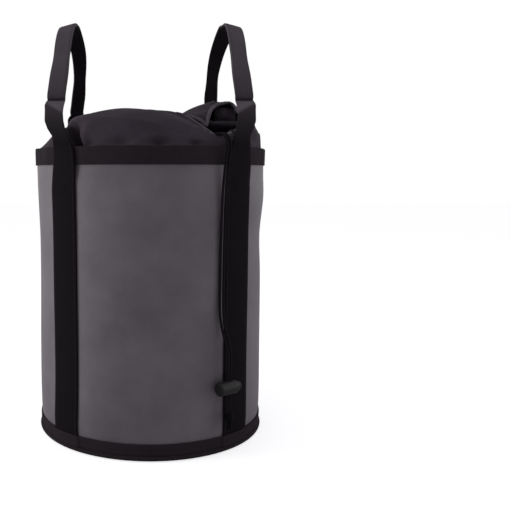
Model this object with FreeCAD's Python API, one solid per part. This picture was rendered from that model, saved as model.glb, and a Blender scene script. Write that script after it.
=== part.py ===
import FreeCAD, Part
import math
import os

V = FreeCAD.Vector

# Round soft-sided rope bag. Millimetres, +Z up, front towards -Y, base centre on the origin.

# Body
bag_radius = 134.4          # outside of the straight part of the wall
bag_height = 336.0          # floor to the edge of the rim
base_draw_in = 1.4          # the wall is this much smaller in radius at the floor
rim_flare = 1.8             # and this much larger at the rim
base_curve_height = 30.0    # the wall draws in over this height at the base
flare_height = 96.0         # and opens out over this height below the rim
wall_thick = 1.0
sheet_gap = 0.1             # between layers that are sewn flat on each other
floor_gap = 0.3             # trim stays this far above the floor

# Base
base_panel_thick = 1.2
stiffener_thick = 2.0
stiffener_margin = 4.0
liner_thick = 0.8
welt_height = 5.6
welt_thick = 1.8
welt_flat = 0.6             # of its thickness, before it rounds over
base_band_top = 19.0
band_thick = 1.4

# Webbing
webbing_width = 40.0
webbing_thick = 1.8
strap_azimuth = 45.0        # each strap lies this far either side of front and back
strap_bottom = 8.0
rim_binding_depth = 19.5
seam_tape_width = 25.0
seam_tape_thick = 0.8

# Bar tacks, where each handle is sewn down on its strap
tack_below_rim = 44.4
tack_width = 16.0
tack_line = 1.2
tack_pitch = 3.0
tack_count = 3
tack_thick = 0.6

# Handles: the webbing folded lengthwise, in an arch from front to back
grip_width = 20.0
grip_thick = 4.4
handle_lean = 3.0           # degrees inwards at rest
leg_out_x = 7.0             # from the wall behind the strap to the middle of the handle's leg
leg_out_y = 8.0
pivot_rise = 24.0           # bend line above the rim
leg_rise = 19.0             # straight leg above the bend line
tab_thick = 3.0             # the fixed webbing's folded end, beside the handle's leg
hinge_gap = 0.3
neck_clearance = 4.0        # the strap is folded narrow this far below the handle's round end

# Collar
collar_clearance = 0.5      # between the collar's skirt and the rim binding
collar_thick = 1.2
collar_sewn_depth = 24.0
collar_levels = (0.09, 0.18, 0.25, 0.5, 0.86)    # shares of the level way from rim to mouth
collar_rises = {            # azimuth: how far the cloth stands over the rim at each level
    -168: (25, 39, 43, 46, 52),
    -140: (33, 42, 44, 46, 46),
    -110: (16, 35, 42, 45, 45),
    -85: (11, 23, 38, 44, 45),
    -60: (21, 31, 37, 44, 42),
    -38: (17, 28, 34, 40, 35),
    -12: (16, 24, 28, 34, 31),
    12: (10, 15, 18, 22, 22),
    35: (5, 7, 9, 10, 11),
    60: (9, 15, 18, 21, 24),
    88: (18, 22, 25, 33, 38),
    115: (20, 31, 36, 45, 52),
    142: (21, 36, 42, 52, 60),
    168: (20, 36, 42, 48, 56),
}
mouth_azimuth = 35.0        # lowest point of the mouth, to the right of the front
mouth_front_inset = 13.4    # inwards from the wall
mouth_front_rise = 12.0
mouth_half_length = 66.0
mouth_half_width = 36.0
mouth_end_radius = 22.0
mouth_turn = -8.0           # degrees, about the vertical
mouth_tilt = 22.0           # degrees, up towards the back
hem_radius = 5.0
hem_bore_radius = 2.0

# Drawcord, cord lock and knot
cord_radius = 1.5
cord_spacing = 3.4
lock_azimuth = 36.5
lock_stand = 9.8            # from the wall to the lock's middle
lock_height = 76.0
cord_drop = 21.0            # both cords hang straight from this far above the lock's middle
lock_radius = 7.5
lock_floor = 2.4            # closed end of the barrel
lock_lip = 4.5              # from the cords to the barrel's open end
lock_rounding = 1.5
lock_bore_radius = 5.0
plunger_clearance = 0.2
plunger_travel = 4.0
plunger_proud = 6.0
plunger_web = 2.2           # between the cords and the spring
plunger_rounding = 1.0
cord_slot_clearance = 0.6
spring_wire_radius = 0.55
spring_turns = 3
spring_pressed = 3.0        # length of the spring when the button is pressed
spring_clearance = 0.3
knot_height = 43.0
knot_radius = 5.2
knot_length = 9.0
knot_tail_length = 9.0

# Rope tie loop, standing on the liner near the back of the wall
tie_width = 20.0
tie_thick = 1.6
tie_opening = 34.0
tie_leg = 14.0
tie_foot = 18.0
tie_inset = 22.4            # from the wall to the loop's far edge


def wall_radius(z):
    """Outside radius of the wall at height z."""
    flare_start = bag_height - flare_height
    if z < base_curve_height:
        return bag_radius - base_draw_in * (1 - z / base_curve_height)
    if z > flare_start:
        return bag_radius + rim_flare * (z - flare_start) / flare_height
    return bag_radius


def wall_stations(stations):
    """Fill (height, offset) stations in with the heights where the wall changes slope."""
    knees = (base_curve_height, bag_height - flare_height)
    filled = [stations[0]]
    for (z0, off0), (z1, off1) in zip(stations, stations[1:]):
        for knee in knees:
            if z0 < knee < z1:
                filled.append((knee, off0 + (off1 - off0) * (knee - z0) / (z1 - z0)))
        filled.append((z1, off1))
    return filled


def layer(stations, thick):
    """Ring that follows the wall. Offsets are from the wall's outside to the ring's inside."""
    filled = wall_stations(stations)
    inner = [V(wall_radius(z) + off, 0, z) for z, off in filled]
    outer = [V(wall_radius(z) + off + thick, 0, z) for z, off in filled]
    outline = inner + outer[::-1] + inner[:1]
    return Part.Face(Part.makePolygon(outline)).revolve(V(0, 0, 0), V(0, 0, 1), 360)


def spin(shape, azimuth):
    """Turn a shape made at the front, -Y, to its azimuth; positive is towards +X."""
    turned = shape.copy()
    turned.rotate(V(0, 0, 0), V(0, 0, 1), azimuth)
    return turned


def patch(azimuth, width, stations, thick):
    """Strip of a layer, of the given width, centred on one azimuth."""
    low = stations[0][0]
    high = stations[-1][0]
    reach = 2 * bag_radius
    window = Part.makeBox(width, reach, high - low, V(-width / 2, -reach, low))
    return layer(stations, thick).common(spin(window, azimuth))


def four_corners(shape):
    """The front right shape and its mirror images, by name."""
    front_left = shape.mirror(V(0, 0, 0), V(1, 0, 0))
    return {
        "front_right": shape,
        "front_left": front_left,
        "back_right": shape.mirror(V(0, 0, 0), V(0, 1, 0)),
        "back_left": front_left.mirror(V(0, 0, 0), V(0, 1, 0)),
    }


def disc(radius, z0, thick):
    return Part.makeCylinder(radius, thick, V(0, 0, z0))


def base_stack():
    """Outer base panel, stiffener and liner, from the floor up, inside the wall."""
    inside = wall_radius(0) - wall_thick - sheet_gap
    stiffener_z = base_panel_thick + sheet_gap
    liner_z = stiffener_z + stiffener_thick + sheet_gap
    return {
        "base_panel": disc(inside, 0, base_panel_thick),
        "base_stiffener": disc(inside - stiffener_margin, stiffener_z, stiffener_thick),
        "base_liner": disc(inside, liner_z, liner_thick),
    }


def liner_top():
    return base_panel_thick + stiffener_thick + liner_thick + 2 * sheet_gap


def body_panel():
    top = bag_height - band_thick - sheet_gap
    return layer([(floor_gap, -wall_thick), (top, -wall_thick)], wall_thick)


def back_seam_tape():
    """Tape inside the wall that covers the panel's closing seam."""
    low = liner_top() + floor_gap
    high = bag_height - collar_sewn_depth - floor_gap
    off = -wall_thick - sheet_gap - seam_tape_thick
    return patch(180, seam_tape_width, [(low, off), (high, off)], seam_tape_thick)


def base_welt():
    """Rounded piping round the bottom seam."""
    low = floor_gap
    high = floor_gap + welt_height
    inner_low = V(wall_radius(low) + sheet_gap, 0, low)
    inner_high = V(wall_radius(high) + sheet_gap, 0, high)
    outer_low = inner_low + V(welt_flat, 0, 0)
    outer_high = inner_high + V(welt_flat, 0, 0)
    crest = (inner_low + inner_high) / 2 + V(welt_thick, 0, 0)
    outline = [
        Part.makeLine(inner_low, outer_low),
        Part.Arc(outer_low, crest, outer_high).toShape(),
        Part.makeLine(outer_high, inner_high),
        Part.makeLine(inner_high, inner_low),
    ]
    return Part.Face(Part.Wire(outline)).revolve(V(0, 0, 0), V(0, 0, 1), 360)


def base_binding():
    """Band sewn round the foot of the wall, stepping out over the ends of the straps."""
    low = floor_gap + welt_height + sheet_gap
    ring = layer([(low, sheet_gap), (base_band_top, sheet_gap)], band_thick)
    step_thick = webbing_thick + sheet_gap + band_thick
    slot_thick = webbing_thick + sheet_gap
    step = patch(strap_azimuth, webbing_width + 2 * band_thick,
                 [(low, sheet_gap), (base_band_top, sheet_gap)], step_thick)
    slot = patch(strap_azimuth, webbing_width + 2 * sheet_gap,
                 [(strap_bottom - sheet_gap, 0), (base_band_top + 1, 0)], slot_thick + sheet_gap)
    for corner in four_corners(step).values():
        ring = ring.fuse(corner)
    for corner in four_corners(slot).values():
        ring = ring.cut(corner)
    return ring.removeSplitter()


def rim_binding():
    """Webbing folded over the top edge of the wall, a leaf each side."""
    low = bag_height - rim_binding_depth
    outer_leaf = layer([(low, sheet_gap), (bag_height, sheet_gap)], band_thick)
    off = -wall_thick - sheet_gap - band_thick
    inner_leaf = layer([(low, off), (bag_height, off)], band_thick)
    crown = layer([(bag_height - band_thick, off), (bag_height, off)],
                  wall_thick + 2 * sheet_gap + 2 * band_thick)
    return outer_leaf.fuse([inner_leaf, crown]).removeSplitter()


def pivot_z():
    return bag_height + pivot_rise


def pivot_x():
    return bag_radius * math.sin(math.radians(strap_azimuth)) + leg_out_x


def leg_y():
    """Middle of the handle's leg."""
    return bag_radius * math.cos(math.radians(strap_azimuth)) + leg_out_y


def tab_y():
    """Outer face of the fixed tab, which stands just inside the handle's leg."""
    return leg_y() - grip_thick / 2 - hinge_gap


def strap_section(radius, z):
    """Cross-section of the strap where it leaves the rim, as two arcs and two sides."""
    half = math.degrees(math.asin(webbing_width / 2 / radius))

    def at(r, degrees):
        angle = math.radians(strap_azimuth + degrees)
        return V(r * math.sin(angle), -r * math.cos(angle), z)

    far = radius + webbing_thick
    outer = Part.Arc(at(far, -half), at(far, 0), at(far, half)).toShape()
    right = Part.makeLine(at(far, half), at(radius, half))
    inner = Part.Arc(at(radius, half), at(radius, 0), at(radius, -half)).toShape()
    left = Part.makeLine(at(radius, -half), at(far, -half))
    return Part.Wire([outer, right, inner, left])


def tab_section(z):
    """Cross-section of the folded tab, square to the handle's leg."""
    x0 = pivot_x() - grip_width / 2
    x1 = pivot_x() + grip_width / 2
    y_out = -tab_y()
    y_in = y_out + tab_thick
    corners = [V(x0, y_out, z), V(x1, y_out, z), V(x1, y_in, z), V(x0, y_in, z)]
    return Part.makePolygon(corners + corners[:1])


def lug(y0, thick):
    """Round end about the bend line, from y0 inwards."""
    return Part.makeCylinder(grip_width / 2, thick, V(pivot_x(), y0, pivot_z()), V(0, 1, 0))


def strap():
    """Front right strap: sewn up the wall, free over the rim, folded at its top end."""
    tack_top = bag_height - tack_below_rim + tack_count * tack_pitch / 2
    over_rim = 2 * sheet_gap + band_thick
    rim_low = bag_height - rim_binding_depth
    sewn = patch(strap_azimuth, webbing_width,
                 [(strap_bottom, sheet_gap), (tack_top, sheet_gap),
                  (rim_low, over_rim), (bag_height, over_rim)], webbing_thick)
    neck_z = pivot_z() - grip_width / 2 - neck_clearance
    low_section = strap_section(wall_radius(bag_height) + over_rim, bag_height)
    neck = Part.makeLoft([low_section, tab_section(neck_z)], True, True)
    stem = Part.makeBox(grip_width, tab_thick, pivot_z() - neck_z,
                        V(pivot_x() - grip_width / 2, -tab_y(), neck_z))
    return sewn.fuse([neck, stem, lug(-tab_y(), tab_thick)]).removeSplitter()


def bar_tacks():
    """Raised rows of stitching across each strap."""
    rows = []
    middle = bag_height - tack_below_rim
    off = sheet_gap + webbing_thick
    for index in range(tack_count):
        z = middle + (index - (tack_count - 1) / 2) * tack_pitch
        row = patch(strap_azimuth, tack_width,
                    [(z - tack_line / 2, off), (z + tack_line / 2, off)], tack_thick)
        rows += four_corners(row).values()
    return Part.makeCompound(rows)


def handle():
    """Right handle: a flat arch of folded webbing on two round ends."""
    bend_z = pivot_z() + leg_rise
    outer = leg_y() + grip_thick / 2
    inner = leg_y() - grip_thick / 2
    foot_z = pivot_z()
    x0 = pivot_x() - grip_width / 2
    edges = [
        Part.makeLine(V(x0, -outer, foot_z), V(x0, -outer, bend_z)),
        Part.Arc(V(x0, -outer, bend_z), V(x0, 0, bend_z + outer), V(x0, outer, bend_z)).toShape(),
        Part.makeLine(V(x0, outer, bend_z), V(x0, outer, foot_z)),
        Part.makeLine(V(x0, outer, foot_z), V(x0, inner, foot_z)),
        Part.makeLine(V(x0, inner, foot_z), V(x0, inner, bend_z)),
        Part.Arc(V(x0, inner, bend_z), V(x0, 0, bend_z + inner), V(x0, -inner, bend_z)).toShape(),
        Part.makeLine(V(x0, -inner, bend_z), V(x0, -inner, foot_z)),
        Part.makeLine(V(x0, -inner, foot_z), V(x0, -outer, foot_z)),
    ]
    arch = Part.Face(Part.Wire(edges)).extrude(V(grip_width, 0, 0))
    arch = arch.fuse([lug(-outer, grip_thick), lug(inner, grip_thick)]).removeSplitter()
    arch.rotate(V(pivot_x(), 0, pivot_z()), V(0, 1, 0), -handle_lean)
    return arch


def mouth_frame():
    """Centre of the mouth and its long and wide directions."""
    turn = math.radians(mouth_turn)
    tilt = math.radians(mouth_tilt)
    azimuth = math.radians(mouth_azimuth)
    level = V(-math.sin(turn), math.cos(turn), 0)
    long_way = level * math.cos(tilt) + V(0, 0, math.sin(tilt))
    wide_way = V(math.cos(turn), math.sin(turn), 0)
    radius = bag_radius - mouth_front_inset
    front = V(radius * math.sin(azimuth), -radius * math.cos(azimuth),
              bag_height + mouth_front_rise)
    return front + long_way * mouth_half_length, long_way, wide_way


def mouth_path():
    """Closed oval of four tangent arcs, along the middle of the hem."""
    centre, long_way, wide_way = mouth_frame()
    a = mouth_half_length
    b = mouth_half_width
    r = mouth_end_radius
    side = ((a - r) ** 2 + b ** 2 - r ** 2) / (2 * (b - r))    # radius of the two long arcs
    joint = math.atan2(side - b, a - r)      # where an end arc meets a side arc
    along = a - r + r * math.cos(joint)
    across = r * math.sin(joint)

    def at(u, v):
        return centre + long_way * u + wide_way * v

    arcs = [
        Part.Arc(at(along, -across), at(a, 0), at(along, across)),
        Part.Arc(at(along, across), at(0, b), at(-along, across)),
        Part.Arc(at(-along, across), at(-a, 0), at(-along, -across)),
        Part.Arc(at(-along, -across), at(0, -b), at(along, -across)),
    ]
    return Part.Wire([arc.toShape() for arc in arcs])


def tube(path, radius):
    """Round bar along a wire of tangent lines and arcs."""
    start = path.Edges[0].firstVertex(True).Point
    heading = path.Edges[0].tangentAt(path.Edges[0].FirstParameter)
    circle = Part.Wire(Part.Circle(start, heading, radius).toShape())
    return Part.Wire(path.Edges).makePipeShell([circle], True, True)


def skirt_radius():
    """Outside of the collar's skirt, just inside the rim binding's lower edge."""
    wall = wall_radius(bag_height - rim_binding_depth)
    return wall - wall_thick - sheet_gap - band_thick - collar_clearance


def collar_end(azimuth, inset):
    """Where the cloth that starts at this azimuth of the rim reaches the mouth."""
    centre, long_way, wide_way = mouth_frame()
    turned = math.radians(azimuth + mouth_turn)
    end = centre + wide_way * (mouth_half_width * math.sin(turned))
    return end - long_way * (mouth_half_length * math.cos(turned)) - V(0, 0, inset)


def collar_wire(level, index, inset):
    """Closed line round the collar, from the rim at level 0 to the mouth at level 1."""
    points = []
    for azimuth, rises in collar_rises.items():
        angle = math.radians(azimuth)
        low = V(math.sin(angle), -math.cos(angle), 0) * (skirt_radius() - inset)
        end = collar_end(azimuth, inset)
        point = low + V(end.x - low.x, end.y - low.y, 0) * level
        heights = (0,) + rises + (end.z + inset - bag_height,)
        point.z = bag_height + heights[index] - (inset if index else 0)
        points.append(point)
    curve = Part.BSplineCurve()
    curve.interpolate(Points=points, PeriodicFlag=True)
    return Part.Wire(curve.toShape())


def collar_skirt():
    """Foot of the collar's cloth, sewn inside the rim."""
    low = bag_height - collar_sewn_depth
    outside = disc(skirt_radius(), low, collar_sewn_depth)
    return outside.cut(disc(skirt_radius() - collar_thick, low, collar_sewn_depth))


def collar_shell(inset):
    """Solid under the collar's surface, from the rim to the mouth."""
    levels = (0.0,) + collar_levels + (1.0,)
    wires = [collar_wire(level, index, inset) for index, level in enumerate(levels)]
    return Part.makeLoft(wires, True, True)


def cord_exits():
    """Drills for the two holes where the drawcord comes out at the front of the mouth."""
    drills = []
    for side in cord_places():
        start, onward = drawcord_route(side)[:2]
        heading = onward - start
        heading.normalize()
        reach = 4 * hem_radius
        low = start - heading * cord_radius
        drills.append(Part.makeCylinder(hem_bore_radius, reach, low, heading))
    return drills


def collar():
    """Cloth drawn over from the rim to the mouth."""
    skin = collar_shell(0).cut(collar_shell(collar_thick))
    skin = skin.cut(tube(mouth_path(), hem_radius + sheet_gap))
    skin = skin.cut(cord_exits())
    return max(skin.Solids, key=lambda solid: solid.Volume)


def lock_orbit():
    """From the bag's axis to the lock's middle."""
    return bag_radius + lock_stand


def cord_places():
    """Azimuth offsets in degrees of the two cords on either side of the lock's middle."""
    half = math.degrees(cord_spacing / 2 / lock_orbit())
    return {"left": -half, "right": half}


def polar(azimuth, radius, z):
    angle = math.radians(azimuth)
    return V(radius * math.sin(angle), -radius * math.cos(angle), z)


def drawcord_route(side):
    """Points of one tail, from the hem over the rim and down to the knot."""
    end = polar(lock_azimuth + cord_places()[side], lock_orbit(), knot_height + knot_length / 2)
    low = V(end.x, end.y, lock_height + cord_drop)
    # azimuth in degrees, share of the bag's radius, share of its height
    if side == "left":
        upper = [(34.2, 0.9137, 1.0372), (34.2, 0.9851, 1.0423), (34.2, 1.0506, 1.0286),
                 (34.2, 1.0744, 1.0000), (34.2, 1.0610, 0.9554), (34.3, 1.0402, 0.8839),
                 (34.4, 1.0268, 0.7798), (34.3, 1.0208, 0.6667), (33.9, 1.0193, 0.5536),
                 (33.2, 1.0253, 0.4375)]
    else:
        upper = [(35.7, 0.9330, 1.0372), (35.7, 0.9970, 1.0423), (35.7, 1.0580, 1.0274),
                 (35.7, 1.0789, 0.9970), (35.8, 1.0625, 0.9494), (35.8, 1.0402, 0.8750),
                 (35.9, 1.0283, 0.7679), (35.8, 1.0238, 0.6548), (35.5, 1.0223, 0.5446),
                 (34.8, 1.0327, 0.4345)]
    points = [polar(azimuth, out * bag_radius, up * bag_height) for azimuth, out, up in upper]
    return points + [low, end]


def rounded_path(points):
    """Straight runs joined by tangent arcs, each as large as its two runs allow."""
    edges = []
    radii = []
    last = points[0]
    for before, corner, after in zip(points, points[1:], points[2:]):
        back = before - corner
        onward = after - corner
        turn = math.pi - back.getAngle(onward)
        reach = 0.45 * min(back.Length, onward.Length)
        radius = reach / math.tan(turn / 2)
        radii.append(radius)
        back.normalize()
        onward.normalize()
        enter = corner + back * reach
        leave = corner + onward * reach
        middle = back + onward
        middle.normalize()
        apex = corner + middle * (radius / math.cos(turn / 2) - radius)
        edges.append(Part.makeLine(last, enter))
        edges.append(Part.Arc(enter, apex, leave).toShape())
        last = leave
    edges.append(Part.makeLine(last, points[-1]))
    return Part.Wire(edges), radii


def drawcord_tail(side):
    path, radii = rounded_path(drawcord_route(side))
    tail = tube(path, cord_radius)
    section = math.pi * cord_radius ** 2
    print("tail %s: length %.1f, least radius %.1f, radii %s, volume ratio %.4f"
          % (side, path.Length, min(radii), [round(r) for r in radii],
             tail.Volume / (section * path.Length)))
    return tail


def collar_hem():
    """Hem round the mouth: a hollow tunnel with the drawcord's two holes."""
    path = mouth_path()
    hem = tube(path, hem_radius).cut(tube(path, hem_bore_radius))
    return hem.cut(cord_exits())


def drawcord_loop():
    """The part of the drawcord that runs inside the hem."""
    return tube(mouth_path(), cord_radius)


def at_lock(shape):
    """Move a shape from the lock's own frame: X along the barrel, -Y away from the wall."""
    shape.rotate(V(0, 0, 0), V(0, 0, 1), lock_azimuth)
    shape.translate(polar(lock_azimuth, lock_orbit(), lock_height))
    return shape


def cord_slot(clearance):
    """Straight slot for the two cords, along Z through the lock."""
    radius = cord_radius + clearance
    half = cord_spacing / 2
    tall = 4 * lock_radius
    left = Part.makeCylinder(radius, tall, V(-half, 0, -tall / 2))
    right = Part.makeCylinder(radius, tall, V(half, 0, -tall / 2))
    middle = Part.makeBox(cord_spacing, 2 * radius, tall, V(-half, -radius, -tall / 2))
    return left.fuse([right, middle])


def slot_half():
    """From the lock's middle to the end of its cord slot."""
    return cord_spacing / 2 + cord_radius + cord_slot_clearance


def plunger_start():
    """Inner end of the plunger, in the lock's own frame."""
    return -slot_half() - plunger_web


def bore_floor():
    return plunger_start() - plunger_travel - spring_pressed


def lock_mouth():
    """Open end of the barrel, in the lock's own frame."""
    return slot_half() + lock_lip


def cord_lock_barrel():
    """Barrel with a blind bore for the plunger and a cross slot for the cords."""
    x0 = bore_floor() - lock_floor
    length = lock_mouth() - x0
    barrel = Part.makeCylinder(lock_radius, length, V(x0, 0, 0), V(1, 0, 0))
    ends = [edge for edge in barrel.Edges if edge.BoundBox.XLength < length / 2]
    barrel = barrel.makeFillet(lock_rounding, ends)
    bore = Part.makeCylinder(lock_bore_radius, length, V(bore_floor(), 0, 0), V(1, 0, 0))
    return at_lock(barrel.cut(bore).cut(cord_slot(cord_slot_clearance)))


def cord_lock_plunger():
    """Push button, slotted so that the cords stay clear over its travel."""
    radius = lock_bore_radius - plunger_clearance
    x0 = plunger_start()
    length = lock_mouth() + plunger_proud - x0
    body = Part.makeCylinder(radius, length, V(x0, 0, 0), V(1, 0, 0))
    outer_end = [edge for edge in body.Edges if edge.BoundBox.XMin > x0 + length / 2]
    body = body.makeFillet(plunger_rounding, outer_end)
    slot = cord_slot(cord_slot_clearance)
    pressed = slot.copy()
    pressed.translate(V(plunger_travel, 0, 0))
    bridge = Part.makeBox(plunger_travel, 2 * (cord_radius + cord_slot_clearance),
                          4 * lock_radius,
                          V(0, -cord_radius - cord_slot_clearance, -2 * lock_radius))
    return at_lock(body.cut(slot.fuse([pressed, bridge])))


def cord_lock_spring():
    """Compression spring between the bore's floor and the plunger."""
    free = plunger_travel + spring_pressed - 2 * spring_wire_radius - spring_clearance
    coil_radius = lock_bore_radius - spring_clearance - spring_wire_radius
    helix = Part.makeLongHelix(free / spring_turns, free, coil_radius)
    wire = Part.Wire(Part.Circle(V(coil_radius, 0, 0), V(0, 1, 0), spring_wire_radius).toShape())
    coil = Part.Wire(helix.Edges).makePipeShell([wire], True, True)
    coil.rotate(V(0, 0, 0), V(0, 1, 0), 90)
    coil.translate(V(bore_floor() + spring_wire_radius + spring_clearance / 2, 0, 0))
    return at_lock(coil)


def cord_knot():
    """Overhand knot of both cords, with their two short ends."""
    side = knot_length / 2
    flat = cord_spacing / 2 + cord_radius + 0.3
    outline = [
        Part.makeLine(V(0, 0, side), V(flat, 0, side)),
        Part.Arc(V(flat, 0, side), V(knot_radius, 0, 0), V(flat, 0, -side)).toShape(),
        Part.makeLine(V(flat, 0, -side), V(0, 0, -side)),
        Part.makeLine(V(0, 0, -side), V(0, 0, side)),
    ]
    knot = Part.Face(Part.Wire(outline)).revolve(V(0, 0, 0), V(0, 0, 1), 360)
    for x in (-cord_spacing / 2, cord_spacing / 2):
        end = Part.makeCylinder(cord_radius, knot_tail_length + 1, V(x, 0, -side - knot_tail_length))
        knot = knot.fuse(end)
    knot.rotate(V(0, 0, 0), V(0, 0, 1), lock_azimuth)
    knot.translate(polar(lock_azimuth, lock_orbit(), knot_height))
    return knot


def rope_tie_loop():
    """Webbing loop on the floor of the bag, for the rope's end."""
    z0 = liner_top()
    inner = tie_opening / 2
    outer = inner + tie_thick
    bend = z0 + tie_leg
    edges = [
        Part.makeLine(V(-outer - tie_foot, 0, z0), V(-outer - tie_foot, 0, z0 + tie_thick)),
        Part.makeLine(V(-outer - tie_foot, 0, z0 + tie_thick), V(-outer, 0, z0 + tie_thick)),
        Part.makeLine(V(-outer, 0, z0 + tie_thick), V(-outer, 0, bend)),
        Part.Arc(V(-outer, 0, bend), V(0, 0, bend + outer), V(outer, 0, bend)).toShape(),
        Part.makeLine(V(outer, 0, bend), V(outer, 0, z0 + tie_thick)),
        Part.makeLine(V(outer, 0, z0 + tie_thick), V(outer + tie_foot, 0, z0 + tie_thick)),
        Part.makeLine(V(outer + tie_foot, 0, z0 + tie_thick), V(outer + tie_foot, 0, z0)),
        Part.makeLine(V(outer + tie_foot, 0, z0), V(inner, 0, z0)),
        Part.makeLine(V(inner, 0, z0), V(inner, 0, bend)),
        Part.Arc(V(inner, 0, bend), V(0, 0, bend + inner), V(-inner, 0, bend)).toShape(),
        Part.makeLine(V(-inner, 0, bend), V(-inner, 0, z0)),
        Part.makeLine(V(-inner, 0, z0), V(-outer - tie_foot, 0, z0)),
    ]
    loop = Part.Face(Part.Wire(edges)).extrude(V(0, tie_width, 0))
    loop.translate(V(0, bag_radius - tie_inset - tie_width, 0))
    return loop


def build():
    nodes = base_stack()
    nodes["body_panel"] = body_panel()
    nodes["back_seam_tape"] = back_seam_tape()
    nodes["base_welt"] = base_welt()
    nodes["base_binding"] = base_binding()
    nodes["rim_binding"] = rim_binding()
    for corner, shape in four_corners(strap()).items():
        nodes["strap_" + corner] = shape
    nodes["bar_tacks"] = bar_tacks()
    nodes["handle_right"] = handle()
    nodes["handle_left"] = nodes["handle_right"].mirror(V(0, 0, 0), V(1, 0, 0))
    nodes["collar_skirt"] = collar_skirt()
    nodes["collar"] = collar()
    nodes["collar_hem"] = collar_hem()
    nodes["drawcord_loop"] = drawcord_loop()
    nodes["drawcord_tail_left"] = drawcord_tail("left")
    nodes["drawcord_tail_right"] = drawcord_tail("right")
    nodes["cord_lock_barrel"] = cord_lock_barrel()
    nodes["cord_lock_plunger"] = cord_lock_plunger()
    nodes["cord_lock_spring"] = cord_lock_spring()
    nodes["cord_knot"] = cord_knot()
    nodes["rope_tie_loop"] = rope_tie_loop()
    return nodes


os.makedirs("parts", exist_ok=True)
for name, shape in build().items():
    box = shape.BoundBox
    print("%-22s solids %d valid %s volume %.1f  z %.1f to %.1f"
          % (name, len(shape.Solids), shape.isValid(), shape.Volume, box.ZMin, box.ZMax))
    shape.exportStep("parts/%s.step" % name)
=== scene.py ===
from math import atan2, copysign, cos, degrees, exp, hypot, pi, radians, sin, sqrt
import bpy
from mathutils import Matrix, Vector, noise


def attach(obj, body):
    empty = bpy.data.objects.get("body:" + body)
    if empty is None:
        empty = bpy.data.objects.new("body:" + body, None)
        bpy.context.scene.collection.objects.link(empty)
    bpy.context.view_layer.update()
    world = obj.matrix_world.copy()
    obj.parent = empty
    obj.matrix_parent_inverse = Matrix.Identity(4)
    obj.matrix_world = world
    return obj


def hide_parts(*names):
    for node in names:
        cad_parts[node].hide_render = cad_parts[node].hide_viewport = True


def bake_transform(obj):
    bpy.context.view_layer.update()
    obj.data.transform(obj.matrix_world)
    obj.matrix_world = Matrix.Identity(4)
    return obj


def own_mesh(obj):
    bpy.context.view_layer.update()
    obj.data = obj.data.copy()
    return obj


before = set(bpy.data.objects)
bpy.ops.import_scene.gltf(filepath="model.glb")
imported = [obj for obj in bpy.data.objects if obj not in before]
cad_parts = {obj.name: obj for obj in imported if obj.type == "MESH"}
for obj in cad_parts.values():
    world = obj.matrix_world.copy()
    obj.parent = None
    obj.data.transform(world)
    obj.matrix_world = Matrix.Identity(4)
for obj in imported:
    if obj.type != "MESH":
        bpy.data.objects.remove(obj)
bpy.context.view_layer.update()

# Round rope bag: vinyl wall, webbing, and a collar gathered on its drawcord. Metres, front towards -Y.


def smooth(t):
    t = min(1.0, max(0.0, t))
    return t * t * (3 - 2 * t)


def grow(x, span):
    # from 0 to 1, by where it starts and how far it takes
    start, way = span
    return smooth((x - start) / way)


def ease(start, end, slopeStart, slopeEnd, t):
    # cubic from start to end that leaves and arrives at the given slopes
    t2, t3 = t * t, t * t * t
    return ((2 * t3 - 3 * t2 + 1) * start + (t3 - 2 * t2 + t) * slopeStart
            + (3 * t2 - 2 * t3) * end + (t3 - t2) * slopeEnd)


def bump(x, centre, width):
    return exp(-((x - centre) / width) ** 2)


def turnDistance(a, b):
    return (a - b + 180) % 360 - 180


def polar(azimuth, radius, z):
    # azimuth in degrees from the front, towards +X
    a = radians(azimuth)
    return Vector((radius * sin(a), -radius * cos(a), z))


def softNoise(*spot):
    return noise.noise(Vector(spot))


def grab(piece):
    bpy.ops.object.select_all(action='DESELECT')
    piece.select_set(True)
    bpy.context.view_layer.objects.active = piece


def takeNew(name):
    piece = bpy.context.object
    piece.name = name
    piece.data.name = name
    return piece


def addObject(name, data):
    piece = bpy.data.objects.new(name, data)
    bpy.context.scene.collection.objects.link(piece)
    return piece


def editEdges():
    # edit mode by edges, with none selected
    bpy.ops.object.mode_set(mode='EDIT')
    bpy.ops.mesh.select_mode(type='EDGE')
    bpy.ops.mesh.select_all(action='DESELECT')


def openTube(name, around, rows):
    # a unit tube, one high, its upright edges cut into rows
    bpy.ops.mesh.primitive_cylinder_add(vertices=around, radius=1, depth=1, end_fill_type='NOTHING',
                                        location=(0, 0, 0.5))
    tube = takeNew(name)
    bpy.ops.object.transform_apply()
    editEdges()
    bpy.ops.object.mode_set(mode='OBJECT')
    for edge in tube.data.edges:
        a, b = (tube.data.vertices[i].co for i in edge.vertices)
        edge.select = abs(a.z - b.z) > 0.5
    bpy.ops.object.mode_set(mode='EDIT')
    bpy.ops.mesh.subdivide(number_cuts=rows - 1)
    bpy.ops.object.mode_set(mode='OBJECT')
    return tube


def wrapTube(tube, place, lay):
    # move every point of a unit tube to place(turn, share), each 0 to 1, and its UV map to lay(turn, share)
    uv = tube.data.uv_layers.active.data
    spots = []
    for v in tube.data.vertices:
        turn = (atan2(v.co.x, -v.co.y) / (2 * pi)) % 1.0
        spots.append((0.0 if turn > 0.999999 else turn, v.co.z))
    for poly in tube.data.polygons:
        turns = [spots[i][0] for i in poly.vertices]
        wraps = max(turns) - min(turns) > 0.5
        for loop, index in zip(poly.loop_indices, poly.vertices):
            turn, share = spots[index]
            if wraps and turn < 0.5:
                turn += 1.0
            uv[loop].uv = lay(turn, share)
    for v, (turn, share) in zip(tube.data.vertices, spots):
        v.co = place(turn, share)
    tube.data.update()


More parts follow.
